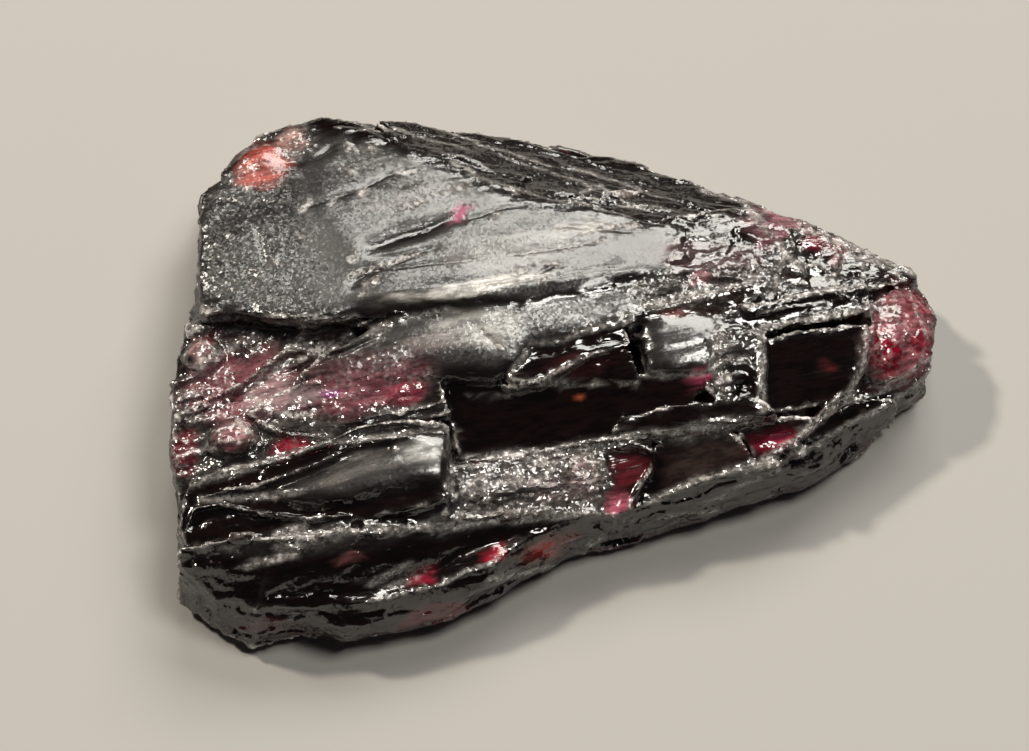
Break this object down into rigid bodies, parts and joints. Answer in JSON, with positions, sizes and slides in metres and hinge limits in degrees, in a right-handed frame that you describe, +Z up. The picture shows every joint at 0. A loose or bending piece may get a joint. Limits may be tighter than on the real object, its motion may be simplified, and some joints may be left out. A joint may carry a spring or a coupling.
{
  "type": "rough painite crystal",
  "caption": "Rough broken painite crystal, dark red and glassy, with stepped cleavage ledges, a satin upper face, a rounded red tip and a flat face to rest on.",
  "frame": {"origin": "centre of the bounding box, at the resting face", "axes": "+X along the longest side towards the red tip, +Y towards the back, +Z up from the resting face"},
  "size_m": [0.0754, 0.0554, 0.0184],
  "materials": {
    "painite": "glassy, very dark red to black, with red light only in thin edges"
  },
  "bodies": {
    "root": {"painite_crystal": "painite"}
  },
  "joints": []
}
